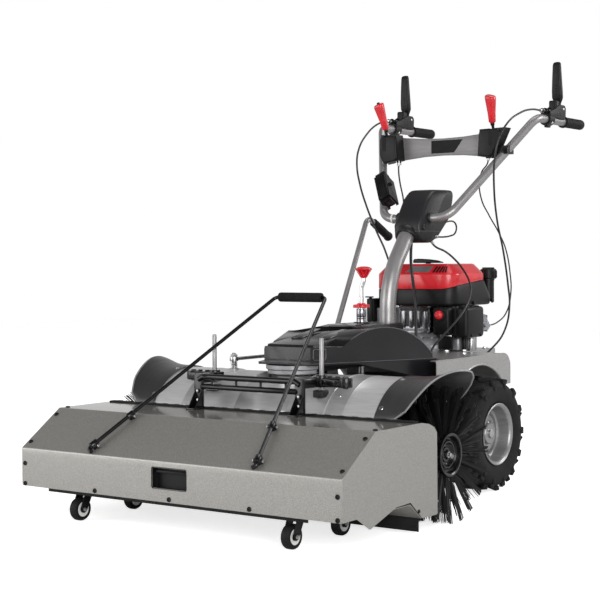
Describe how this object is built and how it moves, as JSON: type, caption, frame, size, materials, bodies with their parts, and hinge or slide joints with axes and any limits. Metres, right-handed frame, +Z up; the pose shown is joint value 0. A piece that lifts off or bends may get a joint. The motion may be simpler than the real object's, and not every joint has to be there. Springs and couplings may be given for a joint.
{
  "type": "power brush sweeper",
  "caption": "Walk-behind motor sweeper with a swivelling roller brush, a floating collecting box on casters, lug tyres and a bent handlebar",
  "frame": {"origin": "on the floor under the middle of the footprint", "axes": "+X to the viewer's right in the front view, -Y the collecting box's front, +Z up"},
  "size_m": [1.024, 1.736, 1.284],
  "materials": {
    "deck_paint": "satin silver paint",
    "dark_casting": "dark cast finish",
    "arm_paint": "black paint",
    "black_cover": "fine grain",
    "belt": "plain",
    "tube_paint": "silver paint",
    "engine_alloy": "cast",
    "red_plastic": "gloss red",
    "bright_metal": "bright plated",
    "dash_paint": "grey paint",
    "black_plastic": "matt black",
    "grip_rubber": "ribbed",
    "cable_black": "smooth",
    "steel": "plated",
    "rim_paint": "grey paint",
    "tyre": "lug tread",
    "cast_grey": "painted casting",
    "cover_silver": "plated sheet",
    "bristle": "black fibre",
    "box_paint": "speckled grey paint",
    "seal_rubber": "plain",
    "frame_black": "gloss black paint",
    "wheel_rubber": "solid"
  },
  "bodies": {
    "chassis": {"deck_plate": "deck_paint", "front_arm": "arm_paint", "transmission_case": "dark_casting", "belt_cover": "black_cover", "drive_belt": "belt", "steering_column": "tube_paint", "engine_crankcase": "engine_alloy", "engine_shroud": "black_plastic", "engine_cover": "red_plastic", "muffler_guard": "bright_metal", "intake": "black_plastic", "console_cover": "black_cover", "handlebar": "tube_paint", "dash_panel": "dash_paint", "control_boxes": "black_plastic", "hand_grips": "grip_rubber", "lever_brackets": "black_plastic", "control_cables": "cable_black"},
    "drive_wheels": {"drive_axle": "steel", "wheel_rims": "rim_paint", "tyres": "tyre"},
    "engine_pulley": {"engine_pulley": "steel"},
    "recoil_grip": {"recoil_grip": "black_plastic"},
    "fuel_cap": {"fuel_cap": "black_plastic"},
    "primer_bulb": {"primer_bulb": "red_plastic"},
    "clutch_lever_left": {"clutch_lever_left": "black_plastic"},
    "clutch_lever_right": {"clutch_lever_right": "black_plastic"},
    "shift_lever_left": {"shift_lever_left": "red_plastic"},
    "shift_lever_right": {"shift_lever_right": "red_plastic"},
    "shift_button": {"shift_button": "black_plastic"},
    "height_crank": {"height_crank": "red_plastic"},
    "support_stem": {"support_stem": "steel"},
    "support_fork": {"support_fork": "frame_black"},
    "support_wheel": {"support_wheel": "wheel_rubber"},
    "angle_lever": {"angle_lever": "tube_paint", "lever_grip": "grip_rubber"},
    "head": {"gearbox": "cast_grey", "brush_cover": "cover_silver", "wings": "black_cover", "head_rods": "steel"},
    "link_rod": {"link_rod": "steel"},
    "gearbox_pulley": {"gearbox_pulley": "steel"},
    "brush": {"brush_shaft": "steel", "bristles_left": "bristle", "bristles_right": "bristle"},
    "hopper": {"hopper_shell": "box_paint", "hopper_sides": "box_paint", "hopper_floor": "box_paint", "hopper_rubber": "seal_rubber", "recess_grip": "black_plastic", "lift_handle": "frame_black", "hitch_frame": "frame_black"},
    "caster_fork_fl": {"caster_fork_fl": "black_plastic"},
    "caster_wheel_fl": {"caster_wheel_fl": "wheel_rubber"},
    "caster_fork_fr": {"caster_fork_fr": "black_plastic"},
    "caster_wheel_fr": {"caster_wheel_fr": "wheel_rubber"},
    "caster_fork_rl": {"caster_fork_rl": "black_plastic"},
    "caster_wheel_rl": {"caster_wheel_rl": "wheel_rubber"},
    "caster_fork_rr": {"caster_fork_rr": "black_plastic"},
    "caster_wheel_rr": {"caster_wheel_rr": "wheel_rubber"}
  },
  "joints": [
    {"name": "wheel_spin", "type": "hinge", "parent": "chassis", "child": "drive_wheels", "pos_m": [0, 0.178, 0.165], "axis": [1, 0, 0], "continuous": true},
    {"name": "head_swivel", "type": "hinge", "parent": "chassis", "child": "head", "pos_m": [0, -0.347, 0.33], "axis": [0, 0, 1], "range_deg": [-12, 12]},
    {"name": "angle_lever_swing", "type": "hinge", "parent": "chassis", "child": "angle_lever", "pos_m": [-0.193, 0.11, 0.29], "axis": [1, 0, 0], "range_deg": [-24.1, 24.1]},
    {"name": "link_turn", "type": "hinge", "parent": "head", "child": "link_rod", "pos_m": [-0.206, -0.347, 0.393], "axis": [0, 0, 1], "range_deg": [-12.1, 12.1]},
    {"name": "brush_spin", "type": "hinge", "parent": "head", "child": "brush", "pos_m": [0, -0.347, 0.1755], "axis": [1, 0, 0], "continuous": true},
    {"name": "gearbox_pulley_spin", "type": "hinge", "parent": "head", "child": "gearbox_pulley", "pos_m": [0, -0.347, 0.373], "axis": [0, 0, 1], "continuous": true},
    {"name": "engine_pulley_spin", "type": "hinge", "parent": "chassis", "child": "engine_pulley", "pos_m": [0, 0.413, 0.373], "axis": [0, 0, 1], "continuous": true},
    {"name": "hopper_float", "type": "slide", "parent": "head", "child": "hopper", "axis": [0, 0, 1], "range_m": [-0.003, 0.05]},
    {"name": "caster_swivel_fl", "type": "hinge", "parent": "hopper", "child": "caster_fork_fl", "pos_m": [-0.336, -0.809, 0.07], "axis": [0, 0, 1], "continuous": true},
    {"name": "caster_roll_fl", "type": "hinge", "parent": "caster_fork_fl", "child": "caster_wheel_fl", "pos_m": [-0.336, -0.827, 0.03], "axis": [1, 0, 0], "continuous": true},
    {"name": "caster_swivel_fr", "type": "hinge", "parent": "hopper", "child": "caster_fork_fr", "pos_m": [0.336, -0.809, 0.07], "axis": [0, 0, 1], "continuous": true},
    {"name": "caster_roll_fr", "type": "hinge", "parent": "caster_fork_fr", "child": "caster_wheel_fr", "pos_m": [0.336, -0.827, 0.03], "axis": [1, 0, 0], "continuous": true},
    {"name": "caster_swivel_rl", "type": "hinge", "parent": "hopper", "child": "caster_fork_rl", "pos_m": [-0.336, -0.641, 0.07], "axis": [0, 0, 1], "continuous": true},
    {"name": "caster_roll_rl", "type": "hinge", "parent": "caster_fork_rl", "child": "caster_wheel_rl", "pos_m": [-0.336, -0.623, 0.03], "axis": [1, 0, 0], "continuous": true},
    {"name": "caster_swivel_rr", "type": "hinge", "parent": "hopper", "child": "caster_fork_rr", "pos_m": [0.336, -0.641, 0.07], "axis": [0, 0, 1], "continuous": true},
    {"name": "caster_roll_rr", "type": "hinge", "parent": "caster_fork_rr", "child": "caster_wheel_rr", "pos_m": [0.336, -0.623, 0.03], "axis": [1, 0, 0], "continuous": true},
    {"name": "support_height", "type": "slide", "parent": "chassis", "child": "support_stem", "axis": [0, 0, 1], "range_m": [0, 0.012]},
    {"name": "height_crank_turn", "type": "hinge", "parent": "chassis", "child": "height_crank", "pos_m": [0, -0.012, 0.533], "axis": [0, 0, 1], "range_deg": [0, 721]},
    {"name": "support_swivel", "type": "hinge", "parent": "support_stem", "child": "support_fork", "pos_m": [0, -0.012, 0.175], "axis": [0, 0, 1], "continuous": true},
    {"name": "support_roll", "type": "hinge", "parent": "support_fork", "child": "support_wheel", "pos_m": [0, 0.018, 0.06], "axis": [1, 0, 0], "continuous": true},
    {"name": "clutch_squeeze_left", "type": "hinge", "parent": "chassis", "child": "clutch_lever_left", "pos_m": [-0.28, 0.706, 1.138], "axis": [1, 0, 0], "range_deg": [-100, 0], "stiffness_Nm_per_rad": 1, "springref_deg": 17.19},
    {"name": "clutch_squeeze_right", "type": "hinge", "parent": "chassis", "child": "clutch_lever_right", "pos_m": [0.28, 0.706, 1.138], "axis": [1, 0, 0], "range_deg": [-100, 0], "stiffness_Nm_per_rad": 1, "springref_deg": 17.19},
    {"name": "shift_left", "type": "hinge", "parent": "chassis", "child": "shift_lever_left", "pos_m": [-0.19, 0.446, 1.03], "axis": [1, 0, 0], "range_deg": [-12, 12]},
    {"name": "shift_right", "type": "hinge", "parent": "chassis", "child": "shift_lever_right", "pos_m": [0.19, 0.446, 1.03], "axis": [1, 0, 0], "range_deg": [-12, 12]},
    {"name": "shift_button_press", "type": "slide", "parent": "shift_lever_left", "child": "shift_button", "axis": [-0.1001, -0.3532, 0.9302], "range_m": [-0.004, 0], "stiffness_N_per_m": 600, "springref_m": 0.002},
    {"name": "primer_press", "type": "slide", "parent": "chassis", "child": "primer_bulb", "axis": [0, 1, 0], "range_m": [0, 0.005], "stiffness_N_per_m": 600, "springref_m": -0.002},
    {"name": "fuel_cap_turn", "type": "hinge", "parent": "chassis", "child": "fuel_cap", "pos_m": [0.112, 0.55, 0.62], "axis": [0, 0, 1], "range_deg": [0, 90]},
    {"name": "recoil_pull", "type": "slide", "parent": "chassis", "child": "recoil_grip", "axis": [0, 0, 1], "range_m": [0, 0.08], "stiffness_N_per_m": 60, "springref_m": -0.05}
  ],
  "couplings": [
    {"joint": "angle_lever_swing", "follows": "head_swivel", "ratio": 2},
    {"joint": "link_turn", "follows": "head_swivel", "ratio": -1},
    {"joint": "gearbox_pulley_spin", "follows": "brush_spin", "ratio": 8},
    {"joint": "engine_pulley_spin", "follows": "brush_spin", "ratio": 14.118},
    {"joint": "height_crank_turn", "follows": "support_height", "rad_per_m": 1047.2}
  ]
}
